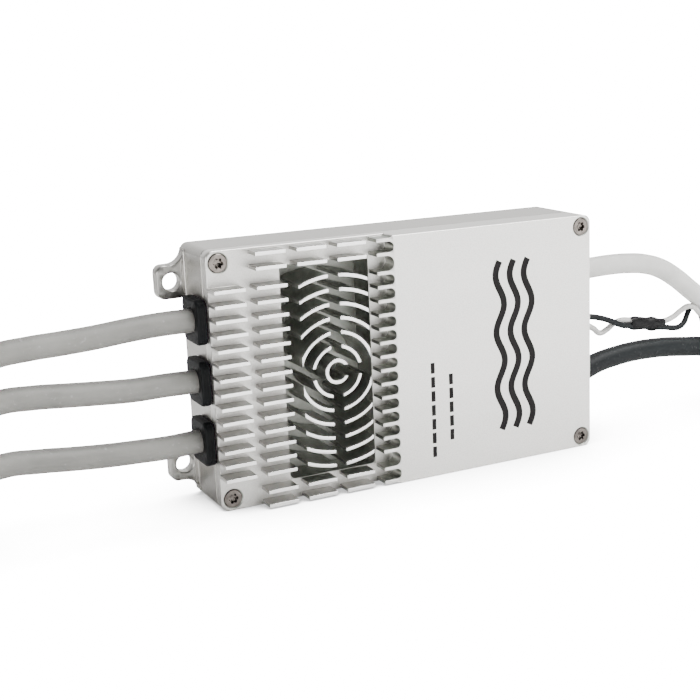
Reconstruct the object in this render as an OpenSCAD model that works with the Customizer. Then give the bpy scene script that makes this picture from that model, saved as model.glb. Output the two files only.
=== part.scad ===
// Electronic speed controller in a machined, finned aluminium case.
// It stands on a long edge: X runs along the case, Y from the label face to the back, Z up.

/* [Case] */
// Length of the case between its end faces
case_len = 82.5; // [60:0.5:140]
// Width of the case, which is its height as it stands
case_h = 50; // [40:0.5:80]
// Depth of the case from label face to back
case_d = 18.5; // [16:0.5:30]
// Radius of the four long corners
corner_r = 1.6; // [0.5:0.1:4]
// Wall thickness of both shells
wall = 2; // [1.2:0.1:4]
// Depth at which the two shells meet
seam_y = 6.5; // [5.5:0.5:10]

/* [Cooling fins] */
// Depth of the finned floor below the label face
floor_y = 3.8; // [2:0.1:5]
// Thickness of a fin
fin_t = 0.68; // [0.4:0.02:1.5]
// Spacing of the fin rows
fin_pitch = 2.75; // [2:0.05:5]
// Length of one fin
fin_len = 6.05; // [3:0.05:12]
// Spacing of the fin columns
col_pitch = 8.2; // [5:0.1:15]
// Spacing between the edge rows and the main rows
edge_gap = 3.6; // [2.5:0.1:6]
// Where the grooves end in the label block
groove_end_x = 36.5; // [30:0.5:60]
// Depth of the floor of the ring-fin pocket
pocket_y = 10.2; // [6:0.1:12]

/* [Ears] */
// Reach of a mounting ear past the end face
ear_reach = 5.6; // [4:0.1:12]
// Thickness of an ear
ear_t = 2.8; // [2:0.1:5]
// Diameter of the hole in an ear
ear_hole_d = 3.4; // [2:0.1:6]
// Distance between ear holes along the case
ear_span_x = 88; // [60:0.5:160]
// Distance between ear holes across the case
ear_span_z = 36; // [20:0.5:60]

/* [Leads] */
// Outside diameter of a phase or power lead
lead_d = 4.5; // [2:0.1:8]
// Outside diameter of a signal wire
wire_d = 1.3; // [0.8:0.1:2.5]
// Spacing of the lead exits
lead_pitch = 11.7; // [9:0.1:15]
// Depth of the lead exits below the label face
lead_y = 8.75; // [7:0.05:12]

/* [Hidden] */
$fn = 48;
mid_z = case_h / 2;
lead_z = [mid_z + lead_pitch, mid_z, mid_z - lead_pitch];
screw_in_x = 2.4;
screw_in_z = 2.35;
head_d = 3.8;
shank_d = 2;
plate_y = floor_y + 2;
block_wall = 1.8;
win_x0 = col_pitch + fin_len;
win_x1 = 4 * col_pitch - 0.2;
win_z0 = 4.05;
win_z1 = case_h - win_z0;
board_y = 13.3;
board_t = 1.6;
pad_t = 0.5;
fet_t = 1.0;
lead_r = lead_d / 2;

// Row heights: fourteen main rows, and two edge rows above and below them
function row_z(i) = mid_z + (i < 7 ? 1 : -1) * (fin_pitch * abs(6.5 - i));
main_rows = [for (i = [0:13]) row_z(i)];
edge_rows = [for (s = [-1, 1], k = [0, 1]) mid_z + s * (6.5 * fin_pitch + edge_gap + k * fin_pitch)];
all_rows = concat(main_rows, edge_rows);

module place() {
    translate([-case_len / 2, -case_d / 2, 0]) children();
}

// A flat shape drawn in X and Z, thickened from depth y0 to depth y1
module slab(y0, y1) {
    translate([0, y1, 0]) rotate([90, 0, 0]) linear_extrude(height = y1 - y0) children();
}

module rounded(x0, z0, x1, z1, r) {
    translate([x0 + r, z0]) square([x1 - x0 - 2 * r, z1 - z0]);
    translate([x0, z0 + r]) square([x1 - x0, z1 - z0 - 2 * r]);
    for (x = [x0 + r, x1 - r], z = [z0 + r, z1 - r]) translate([x, z]) circle(r = r);
}

module rod_x(x0, x1, y, z, r) {
    translate([x0, y, z]) rotate([0, 90, 0]) cylinder(h = x1 - x0, r = r);
}

module rod_y(y0, y1, x, z, r, r2 = -1) {
    translate([x, y0, z]) rotate([-90, 0, 0]) cylinder(h = y1 - y0, r1 = r, r2 = r2 < 0 ? r : r2);
}

// ---- cover shell: label block, finned floor and ring-fin pocket in one milled piece ----
module straight_fins() {
    for (c = [0, 1], z = main_rows) {
        translate([c * col_pitch, 0, z - fin_t / 2]) cube([fin_len, floor_y + 0.5, fin_t]);
    }
    for (c = [1:3], z = edge_rows) {
        translate([c * col_pitch, 0, z - fin_t / 2]) cube([fin_len, floor_y + 0.5, fin_t]);
    }
}

// Rings about the middle of the pocket, cut to the third and fourth fin columns
module ring_fins() {
    cx = (5 * col_pitch + fin_len) / 2;
    slab(0, pocket_y + 0.5) {
        intersection() {
            union() {
                for (c = [2, 3]) {
                    translate([c * col_pitch, win_z0 + 0.4]) square([fin_len, mid_z - 1.1 - win_z0 - 0.4]);
                    translate([c * col_pitch, mid_z + 1.1]) square([fin_len, win_z1 - 0.4 - mid_z - 1.1]);
                }
            }
            union() {
                for (k = [1:6]) translate([cx, mid_z]) ring(2.16 + k * fin_pitch);
            }
        }
        difference() {
            translate([cx, mid_z]) ring(2.16);
            translate([cx, mid_z - 1.1]) square([4, 2.2]);
        }
    }
}

module ring(r) {
    difference() {
        circle(r = r + fin_t / 2, $fn = 96);
        circle(r = r - fin_t / 2, $fn = 96);
    }
}

// Grooves milled into the left edge of the label block, with round ends
module grooves() {
    zs = [for (s = [-1, 1], k = [0:6]) each k < 6 ?
        [[mid_z + s * (k + 1) * fin_pitch, fin_pitch - fin_t]] :
        [[mid_z + s * (6.5 * fin_pitch + edge_gap / 2), edge_gap - fin_t],
        [mid_z + s * (7 * fin_pitch + edge_gap), fin_pitch - fin_t]]];
    for (g = concat([[mid_z, fin_pitch - fin_t]], zs)) {
        slab(-1, floor_y) {
            translate([4 * col_pitch - 1, g[0] - g[1] / 2])
                square([groove_end_x - 4 * col_pitch + 1 - g[1] / 2, g[1]]);
            translate([groove_end_x - g[1] / 2, g[0]]) circle(d = g[1]);
        }
    }
    // the groove outside the last row at either edge is open to the side of the case
    for (s = [-1, 1]) {
        z = mid_z + s * (7.5 * fin_pitch + edge_gap + fin_t / 2 + 1.05);
        slab(-1, floor_y) {
            translate([4 * col_pitch - 1, z - 1.05]) square([groove_end_x - 4 * col_pitch - 0.05, 2.1]);
            translate([groove_end_x - 1.05, z]) circle(r = 1.05);
        }
    }
}

module pocket_outside() {
    rounded(win_x0 - 1.5, win_z0 - 1.5, win_x1 + 1.5, win_z1 + 1.5, 2.5);
}

// Square notches for the necks of the grommets, at the heights in zs
module grommet_notches(x0, x1, zs) {
    for (z = zs) {
        translate([x0, lead_y - 3.3, z - 3.3]) cube([x1 - x0, 6.6, 6.6]);
    }
}

module cover_shell() {
    color([0.80, 0.80, 0.78]) place() {
        difference() {
            union() {
                // low finned half
                slab(floor_y, seam_y) rounded(0, 0, case_len, case_h, corner_r);
                // raised label block
                slab(0, seam_y) difference() {
                    rounded(0, 0, case_len, case_h, corner_r);
                    translate([-1, -1]) square([4 * col_pitch + 1, case_h + 2]);
                }
                // outside of the ring-fin pocket
                slab(seam_y - 1, pocket_y + 1.6) pocket_outside();
            }
            // hollow behind the low half
            difference() {
                slab(plate_y, seam_y + 1) rounded(wall, wall, groove_end_x + 1.5, case_h - wall, 1);
                slab(plate_y - 1, seam_y + 2) pocket_outside();
                for (z = [0, case_h - 5.3]) translate([0, 0, z]) cube([5.3, 20, 5.3]);
            }
            // hollow behind the label
            difference() {
                slab(block_wall, seam_y + 1)
                    rounded(groove_end_x + 1.3, wall, case_len - wall, case_h - wall, 1);
                for (z = [0, case_h - 5.3]) translate([case_len - 5.3, 0, z]) cube([5.3, 20, 5.3]);
            }
            grooves();
            slab(-1, pocket_y) rounded(win_x0, win_z0, win_x1, win_z1, 1);
            grommet_notches(-1, wall + 0.01, lead_z);
            grommet_notches(case_len - wall - 0.01, case_len + 1, [lead_z[0], lead_z[2]]);
            // countersunk screw holes
            for (z = [screw_in_z, case_h - screw_in_z]) {
                rod_y(floor_y - 1, seam_y + 1, screw_in_x, z, shank_d / 2 + 0.15);
                rod_y(floor_y, floor_y + 1, screw_in_x, z, head_d / 2 + 0.1, shank_d / 2 + 0.1);
                rod_y(-1, seam_y + 1, case_len - screw_in_x, z, shank_d / 2 + 0.15);
                rod_y(0, 1, case_len - screw_in_x, z, head_d / 2 + 0.1, shank_d / 2 + 0.1);
            }
        }
        straight_fins();
        ring_fins();
    }
}

// ---- base shell: tray with four ears, lead slots, screw posts and board bosses ----
module ear() {
    slab(case_d - ear_t, case_d) {
        difference() {
            union() {
                rounded(-ear_reach, 3.75, 3, 10.25, 1.5);
                translate([-3, 0.9]) square([4, 3.5]);
            }
            translate([-3.1, 0.65]) circle(r = 3.1, $fn = 64);
            translate([-4, -1]) square([4, 1.9]);
        }
    }
}

module corner_copies() {
    for (sx = [0, 1], sz = [0, 1]) {
        translate([sx * case_len, 0, sz * case_h]) mirror([sx, 0, 0]) mirror([0, 0, sz]) children();
    }
}

bosses = [[6.5, 6], [6.5, 44], [76, 6], [76, 44]];

module base_shell() {
    color([0.78, 0.78, 0.76]) place() {
        difference() {
            union() {
                difference() {
                    slab(seam_y, case_d) rounded(0, 0, case_len, case_h, corner_r);
                    slab(seam_y - 1, case_d - wall) rounded(wall, wall, case_len - wall, case_h - wall, 1);
                }
                for (x = [0, case_len - 4.9], z = [0, case_h - 4.8]) {
                    intersection() {
                        translate([x, seam_y, z]) cube([4.9, case_d - seam_y - 1, 4.8]);
                        slab(seam_y, case_d) rounded(0, 0, case_len, case_h, corner_r);
                    }
                }
                for (b = bosses) rod_y(board_y + board_t, case_d - 1, b[0], b[1], 2.4);
                corner_copies() ear();
            }
            grommet_notches(-1, wall + 0.01, lead_z);
            grommet_notches(case_len - wall - 0.01, case_len + 1, [lead_z[0], lead_z[2]]);
            rod_x(case_len - wall - 1, case_len + 1, lead_y + 0.4, mid_z, 1.9);
            for (x = [screw_in_x, case_len - screw_in_x], z = [screw_in_z, case_h - screw_in_z]) {
                rod_y(seam_y - 1, 14.5, x, z, shank_d / 2);
            }
            for (b = bosses) rod_y(board_y, 17.6, b[0], b[1], 0.8);
            for (x = [-1, 1], z = [-1, 1]) {
                translate([case_len / 2, 0, mid_z])
                    rod_y(case_d - ear_t - 1, case_d + 1, x * ear_span_x / 2, z * ear_span_z / 2,
                        ear_hole_d / 2);
            }
        }
    }
}

// ---- fasteners ----
// Countersunk six-lobe screw with its head flush at depth y
module flat_screw(x, y, z, len) {
    difference() {
        union() {
            rod_y(y, y + 0.9, x, z, head_d / 2, shank_d / 2);
            rod_y(y + 0.9, y + len, x, z, shank_d / 2);
        }
        for (a = [0, 60, 120]) {
            translate([x, y - 0.1, z]) rotate([0, a, 0]) translate([-0.85, 0, -0.2]) cube([1.7, 0.7, 0.4]);
        }
        rod_y(y - 0.1, y + 0.6, x, z, 0.58);
    }
}

module cover_screws_short() {
    color([0.72, 0.71, 0.69]) place()
        for (z = [screw_in_z, case_h - screw_in_z]) flat_screw(screw_in_x, floor_y, z, 8);
}

module cover_screws_long() {
    color([0.72, 0.71, 0.69]) place()
        for (z = [screw_in_z, case_h - screw_in_z]) flat_screw(case_len - screw_in_x, 0, z, 12);
}

module board_screws() {
    color([0.6, 0.6, 0.62]) place() for (b = bosses) {
        difference() {
            union() {
                rod_y(board_y - 1.1, board_y, b[0], b[1], 1.5);
                rod_y(board_y, 17.4, b[0], b[1], 0.8);
            }
            for (a = [0, 90]) {
                translate([b[0], board_y - 1.2, b[1]]) rotate([0, a, 0])
                    translate([-0.8, 0, -0.15]) cube([1.6, 0.6, 0.3]);
            }
        }
    }
}

// ---- rubber grommets ----
// Square grommet: outer flange, neck in the wall slot and inner flange, for the left end
module grommet(z) {
    difference() {
        union() {
            translate([-2, lead_y - 4.3, z - 4.3]) rounded_block(2, 8.6, 8.6, 1.6);
            translate([0, lead_y - 3.3, z - 3.3]) cube([wall, 6.6, 6.6]);
            translate([wall, lead_y - 2.95, z - 3.9]) rounded_block(1.2, 6.85, 7.8, 1);
        }
        rod_x(-3, wall + 2, lead_y, z, lead_r);
    }
}

// Block with rounded edges along X
module rounded_block(lx, ly, lz, r) {
    translate([0, r, 0]) cube([lx, ly - 2 * r, lz]);
    translate([0, 0, r]) cube([lx, ly, lz - 2 * r]);
    for (y = [r, ly - r], z = [r, lz - r]) translate([0, y, z]) rotate([0, 90, 0]) cylinder(h = lx, r = r);
}

module phase_grommets() {
    color([0.13, 0.14, 0.14]) place() for (z = lead_z) grommet(z);
}

module power_grommets() {
    color([0.13, 0.14, 0.14]) place() translate([case_len, 0, 0]) mirror([1, 0, 0]) {
        for (z = [lead_z[0], lead_z[2]]) grommet(z);
    }
}

module signal_grommet() {
    color([0.13, 0.14, 0.14]) place() difference() {
        union() {
            rod_x(case_len, case_len + 1.2, lead_y + 0.4, mid_z, 2.9);
            rod_x(case_len - wall, case_len, lead_y + 0.4, mid_z, 1.9);
            rod_x(case_len - wall - 0.8, case_len - wall, lead_y + 0.4, mid_z, 2.4);
        }
        for (s = [-1, 1]) rod_x(case_len - 5, case_len + 3, lead_y + 0.4, mid_z + s * 0.75, wire_d / 2);
    }
}

// ---- power board and what is soldered to it ----
module power_board() {
    color([0.07, 0.20, 0.13]) place() difference() {
        slab(board_y, board_y + board_t) difference() {
            rounded(3.6, 3, case_len - 3.6, 47, 1);
            for (x = [0, case_len - 5.4], z = [0, case_h - 5.2]) translate([x, z]) square([5.4, 5.2]);
        }
        for (b = bosses) rod_y(board_y - 1, board_y + 3, b[0], b[1], 1);
    }
}

module mosfets() {
    color([0.12, 0.12, 0.13]) place() for (i = [0:2], j = [0:5]) {
        translate([16.4 + 7 * i - 2.5, board_y - fet_t, 7.5 + 7 * j - 3]) cube([5, fet_t, 6]);
    }
}

module thermal_pad() {
    color([0.55, 0.60, 0.72]) place()
        translate([win_x0 - 1, pocket_y + 1.6, win_z0 - 0.5])
            cube([win_x1 - win_x0 + 1.6, pad_t, win_z1 - win_z0 + 1]);
}

module gate_drivers() {
    color([0.1, 0.1, 0.11]) place()
        for (z = lead_z) translate([36.4, board_y - 0.9, z - 2]) cube([4, 0.9, 4]);
}

module current_shunts() {
    color([0.35, 0.36, 0.38]) place() for (z = [lead_z[0], lead_z[2]]) {
        translate([60, board_y - 0.8, z - 1.6]) cube([6.4, 0.8, 3.2]);
    }
}

module ceramic_capacitors() {
    color([0.62, 0.52, 0.40]) place() for (k = [0:9]) {
        translate([33.7, board_y - 1.2, 5.4 + 4.2 * k]) cube([2, 1.2, 1.25]);
    }
}

cap_z = [8, 19.3, 30.6, 41.9];
module capacitor_cans() {
    color([0.30, 0.30, 0.36]) place() for (z = cap_z) difference() {
        union() {
            rod_x(41.5, 56, board_y - 5.1, z, 5);
            rod_x(41, 41.5, board_y - 5.1, z, 4.6);
        }
        rod_x(54.6, 57, board_y - 5.1, z, 4.4);
        translate([40.9, board_y - 5.25, z - 3.5]) cube([0.3, 0.3, 7]);
    }
}

module capacitor_bungs() {
    color([0.10, 0.10, 0.10]) place() for (z = cap_z) difference() {
        rod_x(54.6, 56, board_y - 5.1, z, 4.4);
        for (s = [-1, 1]) rod_x(54, 57, board_y - 5.1, z + s * 2.5, 0.35);
    }
}

// Two leads from each can, bent down into the board
module capacitor_leads() {
    color([0.75, 0.75, 0.74]) place() for (z = cap_z, s = [-1, 1]) {
        rod_x(54.7, 57.6, board_y - 5.1, z + s * 2.5, 0.35);
        rod_y(board_y - 5.1, board_y, 57.6, z + s * 2.5, 0.35);
        translate([57.6, board_y - 5.1, z + s * 2.5]) sphere(r = 0.35);
    }
}

module terminal_block(x) {
    for (z = lead_z) difference() {
        translate([x, 6.8, z - 3]) cube([6, board_y - 6.8, 6]);
        rod_x(x - 1, x + 7, lead_y, z, 1.5);
    }
}

module phase_terminals() {
    color([0.80, 0.55, 0.35]) place() terminal_block(5.2);
}

module power_terminals() {
    color([0.80, 0.55, 0.35]) place() difference() {
        terminal_block(case_len - 11.2);
        translate([case_len - 15, 0, mid_z - 5]) cube([12, 20, 10]);
    }
}

module phase_conductors() {
    color([0.82, 0.50, 0.32]) place() for (z = lead_z) rod_x(4.6, 11, lead_y, z, 1.5);
}

module power_conductors() {
    color([0.82, 0.50, 0.32]) place() for (z = [lead_z[0], lead_z[2]]) {
        rod_x(case_len - 11, case_len - 4.6, lead_y, z, 1.5);
    }
}

// ---- control board on its header ----
ctl_y = 7.4;
module control_board() {
    color([0.06, 0.17, 0.24]) place() slab(ctl_y, ctl_y + 1) rounded(59.5, 19.5, 77.5, 30.5, 0.6);
}

module header_housing() {
    color([0.09, 0.09, 0.10]) place() difference() {
        translate([60.5, ctl_y + 1, 21.4]) cube([2.5, board_y - ctl_y - 1, 7.2]);
        for (k = [0:3]) rod_y(0, 20, 61.75, 21.4 + 0.9 + 1.8 * k, 0.3);
    }
}

module header_pins() {
    color([0.83, 0.68, 0.36]) place()
        for (k = [0:3]) rod_y(ctl_y + 1, board_y, 61.75, 21.4 + 0.9 + 1.8 * k, 0.3);
}

module microcontroller() {
    color([0.10, 0.10, 0.11]) place() translate([65, ctl_y - 0.9, 22]) cube([6, 0.9, 6]);
}

module crystal() {
    color([0.72, 0.72, 0.72]) place() translate([60.6, ctl_y - 0.8, 23.4]) cube([2.5, 0.8, 3.2]);
}

module buck_regulator() {
    color([0.10, 0.10, 0.11]) place() translate([66, board_y - 1.2, 26]) cube([4, 1.2, 3.5]);
}

module buck_inductor() {
    color([0.22, 0.22, 0.23]) place() translate([66, board_y - 2.2, 19]) cube([5, 2.2, 5]);
}

module signal_solder() {
    color([0.74, 0.74, 0.73]) place() for (s = [-1, 1]) {
        translate([74.6, ctl_y + 1, mid_z + s * 0.75 - 0.55]) cube([1.65, 1.3, 1.1]);
    }
}

// ---- leads: routes in the part's own frame ----
x_in = -case_len / 2 + 4.6;
x_out = case_len / 2 - 4.6;
ly = lead_y - case_d / 2;
route_a = [[x_in, ly, lead_z[0]], [-43.2, ly, lead_z[0]], [-49, ly, 36.7], [-55, ly, 36.4],
    [-61, ly, 35.9], [-67, ly, 35.6], [-73, ly, 35.4], [-79, ly, 34.8], [-84.6, 0, 32.6],
    [-88.8, 1.4, 28.6], [-91.4, 3.4, 23.6], [-93, 5.6, 18.2], [-94.6, 7.6, 12.8], [-97.4, 9, 7.8],
    [-101.6, 9.4, 4.4], [-106, 9.4, 2.9], [-108.5, 9.4, 2.9]];
route_b = [[x_in, ly, lead_z[1]], [-43.2, ly, lead_z[1]], [-49, ly, 25.1], [-55, ly, 25.1],
    [-61, ly, 25.5], [-67, ly, 26], [-73, ly, 26.5], [-79, ly, 26.5], [-84.6, ly, 24.8],
    [-88.6, ly, 21], [-91.4, ly, 16.2], [-94, ly, 11.4], [-97.4, ly, 7.2], [-101.6, ly, 4.2],
    [-106, ly, 2.9], [-108.5, ly, 2.9]];
route_c = [[x_in, ly, lead_z[2]], [-43.2, ly, lead_z[2]], [-49, ly, 13.1], [-55, ly, 13.3],
    [-61, ly, 13.6], [-67, ly, 14.1], [-73, ly, 14.7], [-79, ly, 15], [-84.2, -1.4, 14],
    [-88.6, -3.4, 11.6], [-92.4, -5.8, 8.6], [-96.2, -8, 5.8], [-100.4, -9.6, 3.8],
    [-104.6, -10.2, 2.9], [-107, -10.2, 2.9]];
route_pos = [[x_out, ly, lead_z[0]], [43.2, ly, lead_z[0]], [48, ly, 36.9], [53, ly, 37],
    [57.5, ly, 36.8], [62, ly, 36.2], [66.4, ly, 34.8], [70.6, ly, 32.4], [74.6, ly, 29.4],
    [78.6, ly, 26.2], [82.4, ly, 22.4], [86, ly, 18], [89.4, ly, 13.4], [93.2, ly, 9], [97.6, ly, 5.6],
    [102.4, ly, 3.5], [106.4, ly, 2.9], [109, ly, 2.9]];
route_neg = [[x_out, ly, lead_z[2]], [43.2, ly, lead_z[2]], [46.4, ly, 14.4], [49.6, ly, 15.4],
    [54, ly, 16.1], [59, ly, 16.5], [64, ly, 16.5], [69, ly, 16.2], [74, ly, 15.6], [79, ly, 14.9],
    [84, -0.8, 13.2], [88.2, -2, 10.8], [91.8, -4.2, 8.2], [95.2, -7, 5.8], [98.6, -9.8, 4],
    [102.4, -11.6, 3.1], [106, -12, 2.9], [108.5, -12, 2.9]];
sy = lead_y + 0.4 - case_d / 2;
route_white = [[35, sy, 24.25], [42.5, sy, 24.25], [46, -0.1, 24.3], [48.6, 0, 23.1],
    [50.4, 0.1, 21.8], [52.4, 0.2, 22.3], [54.4, 0.3, 23.4], [56.2, 0.1, 23.95], [58.2, -0.2, 23.8],
    [62.9, -0.2, 23.05], [67.6, -0.2, 22.3], [70.6, -0.4, 23], [72.8, -0.6, 24.3], [74.6, -0.9, 25.1],
    [76, -1.2, 24.7], [77.4, -1.4, 23.3], [78.6, -1.7, 22.2], [79.9, -2.7, 20], [81, -4.6, 16.2],
    [82.2, -7.2, 12], [83.4, -10.4, 7.8], [85, -14, 4.2], [87.4, -17.4, 2], [90.6, -19.4, 1.3],
    [94, -20, 1.3], [97, -20, 1.3]];
route_black = [[35, sy, 25.75], [42.5, sy, 25.75], [47, -0.4, 26], [50.6, -0.8, 25.2],
    [53.2, -0.9, 24.2], [55.6, -0.9, 23.1], [58.2, -0.8, 22.6], [62.9, -0.8, 21.85],
    [67.6, -0.8, 21.1], [70, -0.8, 20.6], [72.2, -0.6, 20.5], [74, -0.2, 21.3], [75.3, 0.4, 22.7],
    [76.6, 1.1, 23.9], [78.2, 2, 24.3], [79.9, 2.9, 23.8], [81.6, 3.6, 22.3], [83.1, 4.2, 19.9],
    [84.3, 4.5, 16.8], [85.1, 4.5, 13.4], [85.8, 3.9, 10], [86.4, 2.6, 6.9], [87, 0.2, 4.1],
    [87.7, -3.6, 2], [88.6, -8.4, 1.3], [90.4, -13.6, 1.3], [93.4, -16.8, 1.3], [97, -17.5, 1.3]];

function unit(v) = v / norm(v);
function tangent(p, i) = unit(p[min(i + 1, len(p) - 1)] - p[max(i - 1, 0)]);

// Round tube through the points of a route, as one closed surface
module tube(p, r, sides) {
    n = len(p);
    normals = [for (i = 0, v = unit(cross(tangent(p, 0), [0.2, 1, 0.3])); i < n;
        i = i + 1, v = i < n ? unit(v - (v * tangent(p, i)) * tangent(p, i)) : v) v];
    rings = [for (i = [0:n - 1]) let (t = tangent(p, i), u = normals[i], w = cross(t, u))
        for (k = [0:sides - 1]) p[i] + r * (cos(360 * k / sides) * u + sin(360 * k / sides) * w)];
    sides_faces = [for (i = [0:n - 2], k = [0:sides - 1]) let (j = (k + 1) % sides)
        [i * sides + k, (i + 1) * sides + k, (i + 1) * sides + j, i * sides + j]];
    polyhedron(points = rings, faces = concat(sides_faces,
        [[for (k = [0:sides - 1]) k]], [[for (k = [sides - 1:-1:0]) (n - 1) * sides + k]]), convexity = 8);
}

module phase_lead_a() { color([0.62, 0.62, 0.60]) tube(route_a, lead_r, 10); }
module phase_lead_b() { color([0.62, 0.62, 0.60]) tube(route_b, lead_r, 10); }
module phase_lead_c() { color([0.62, 0.62, 0.60]) tube(route_c, lead_r, 10); }
module power_lead_positive() { color([0.78, 0.78, 0.76]) tube(route_pos, lead_r, 10); }
module power_lead_negative() { color([0.12, 0.13, 0.14]) tube(route_neg, lead_r, 10); }
module signal_wire_white() { color([0.85, 0.85, 0.83]) tube(route_white, wire_d / 2, 8); }
module signal_wire_black() { color([0.12, 0.12, 0.13]) tube(route_black, wire_d / 2, 8); }

// Heat-shrink sleeve over both signal wires, which lie one above the other inside it
module signal_sleeve() {
    color([0.10, 0.10, 0.11]) translate([58.2, ly, 23.2]) rotate([0, atan(0.16), 0]) difference() {
        rod_x(0, 9.5, 0, 0, 1.5);
        for (s = [-1, 1]) rod_x(-1, 11, s * 0.3, s * 0.59, wire_d / 2);
    }
}

// ---- plugs on the leads: built along +X from the end of a lead ----
module at_end(p) {
    d = tangent(p, len(p) - 1);
    translate(p[len(p) - 1]) rotate([0, 0, atan2(d[1], d[0])]) children();
}

module bullet() {
    color([0.83, 0.67, 0.32]) difference() {
        union() {
            rotate([0, 90, 0]) cylinder(h = 9, r = 2.6);
            translate([9, 0, 0]) rotate([0, 90, 0]) cylinder(h = 1, r = 2.2);
            translate([10, 0, 0]) rotate([0, 90, 0]) cylinder(h = 7, r = 2);
            translate([17, 0, 0]) rotate([0, 90, 0]) cylinder(h = 1.2, r1 = 2, r2 = 1.2);
        }
        translate([12.6, 0, 0]) rotate([0, 90, 0]) cylinder(h = 7, r = 0.8);
    }
}

module bullet_sleeve() {
    color([0.10, 0.10, 0.11]) difference() {
        translate([-3.5, 0, 0]) rotate([0, 90, 0]) cylinder(h = 12.3, r = 2.9);
        rotate([0, 90, 0]) cylinder(h = 12, r = 2.6);
        translate([-4, 0, 0]) rotate([0, 90, 0]) cylinder(h = 5, r = lead_r);
    }
}

module bullet_a() { at_end(route_a) bullet(); }
module bullet_b() { at_end(route_b) bullet(); }
module bullet_c() { at_end(route_c) bullet(); }
module bullet_sleeve_a() { at_end(route_a) bullet_sleeve(); }
module bullet_sleeve_b() { at_end(route_b) bullet_sleeve(); }
module bullet_sleeve_c() { at_end(route_c) bullet_sleeve(); }
module bullet_positive() { at_end(route_pos) bullet(); }
module bullet_negative() { at_end(route_neg) bullet(); }
module bullet_sleeve_positive() { at_end(route_pos) bullet_sleeve(); }
module bullet_sleeve_negative() { at_end(route_neg) bullet_sleeve(); }

// Three-way signal plug lying flat, with two wired contacts
module signal_plug() {
    color([0.10, 0.10, 0.11]) difference() {
        translate([97, -23.8, 0]) cube([14, 7.6, 2.6]);
        for (y = [-20, -17.5]) {
            rod_x(96, 100, y, 1.3, 0.75);
            translate([99.9, y - 0.5, 0.8]) cube([12, 1, 1]);
        }
        translate([103, -23, 0.8]) cube([9, 1, 1]);
    }
}

module signal_contacts() {
    color([0.83, 0.70, 0.40]) for (y = [-20, -17.5]) {
        translate([97, y - 0.4, 0.9]) cube([13.2, 0.8, 0.8]);
    }
}

cover_shell();
base_shell();
cover_screws_short();
cover_screws_long();
phase_grommets();
power_grommets();
signal_grommet();
thermal_pad();
power_board();
board_screws();
mosfets();
gate_drivers();
current_shunts();
ceramic_capacitors();
capacitor_cans();
capacitor_bungs();
capacitor_leads();
phase_terminals();
power_terminals();
phase_conductors();
power_conductors();
control_board();
header_housing();
header_pins();
microcontroller();
crystal();
buck_regulator();
buck_inductor();
signal_solder();
phase_lead_a();
phase_lead_b();
phase_lead_c();
power_lead_positive();
power_lead_negative();
signal_wire_white();
signal_wire_black();
signal_sleeve();
bullet_a();
bullet_b();
bullet_c();
bullet_sleeve_a();
bullet_sleeve_b();
bullet_sleeve_c();
bullet_positive();
bullet_negative();
bullet_sleeve_positive();
bullet_sleeve_negative();
signal_plug();
signal_contacts();
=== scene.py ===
import math

import bmesh
import bpy
from mathutils import Matrix, Vector


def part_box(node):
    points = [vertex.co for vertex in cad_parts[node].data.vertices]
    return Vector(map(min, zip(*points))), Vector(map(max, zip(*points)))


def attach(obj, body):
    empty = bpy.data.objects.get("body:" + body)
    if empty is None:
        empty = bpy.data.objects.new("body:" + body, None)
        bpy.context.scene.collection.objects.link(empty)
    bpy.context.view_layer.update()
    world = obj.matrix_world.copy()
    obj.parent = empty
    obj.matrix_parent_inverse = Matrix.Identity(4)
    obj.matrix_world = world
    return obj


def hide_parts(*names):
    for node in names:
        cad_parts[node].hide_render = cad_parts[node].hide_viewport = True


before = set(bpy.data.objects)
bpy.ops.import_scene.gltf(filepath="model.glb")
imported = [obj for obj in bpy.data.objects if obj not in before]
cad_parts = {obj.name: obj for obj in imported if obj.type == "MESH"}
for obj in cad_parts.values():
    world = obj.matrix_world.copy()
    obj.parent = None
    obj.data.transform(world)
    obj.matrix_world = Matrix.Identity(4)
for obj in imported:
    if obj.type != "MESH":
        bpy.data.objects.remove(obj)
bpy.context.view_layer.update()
MM = 0.001

# ---------------------------------------------------------------------------
# View: the controller stands on a long edge and is seen from the phase-lead
# end, a little above the middle of its label face.
# ---------------------------------------------------------------------------
look_at = Vector((7.157, -9.25, 24.608)) * MM
azimuth, elevation, roll = (math.radians(a) for a in (29.293, 13.616, -1.472))
view_distance = 267.542 * MM
away = Vector((math.cos(elevation) * math.sin(azimuth), math.cos(elevation) * math.cos(azimuth),
               -math.sin(elevation)))
camera_data = bpy.data.cameras.new("camera")
camera = bpy.data.objects.new("camera", camera_data)
bpy.context.collection.objects.link(camera)
turn = away.to_track_quat("-Z", "Y").to_matrix().to_4x4()
camera.matrix_world = (Matrix.Translation(look_at - away * view_distance) @ turn
                       @ Matrix.Rotation(roll, 4, "Z"))
camera_data.sensor_width = 36
camera_data.lens = 68.73
camera_data.shift_x = -0.144
camera_data.shift_y = 0.008
camera_data.clip_start = 0.01
bpy.context.scene.camera = camera

# ---------------------------------------------------------------------------
# Heat-shrink sleeve on the signal pair: thin black polyolefin shrunk over a
# soldered joint, so that it follows the two wires in soft lumps.
# ---------------------------------------------------------------------------


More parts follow.
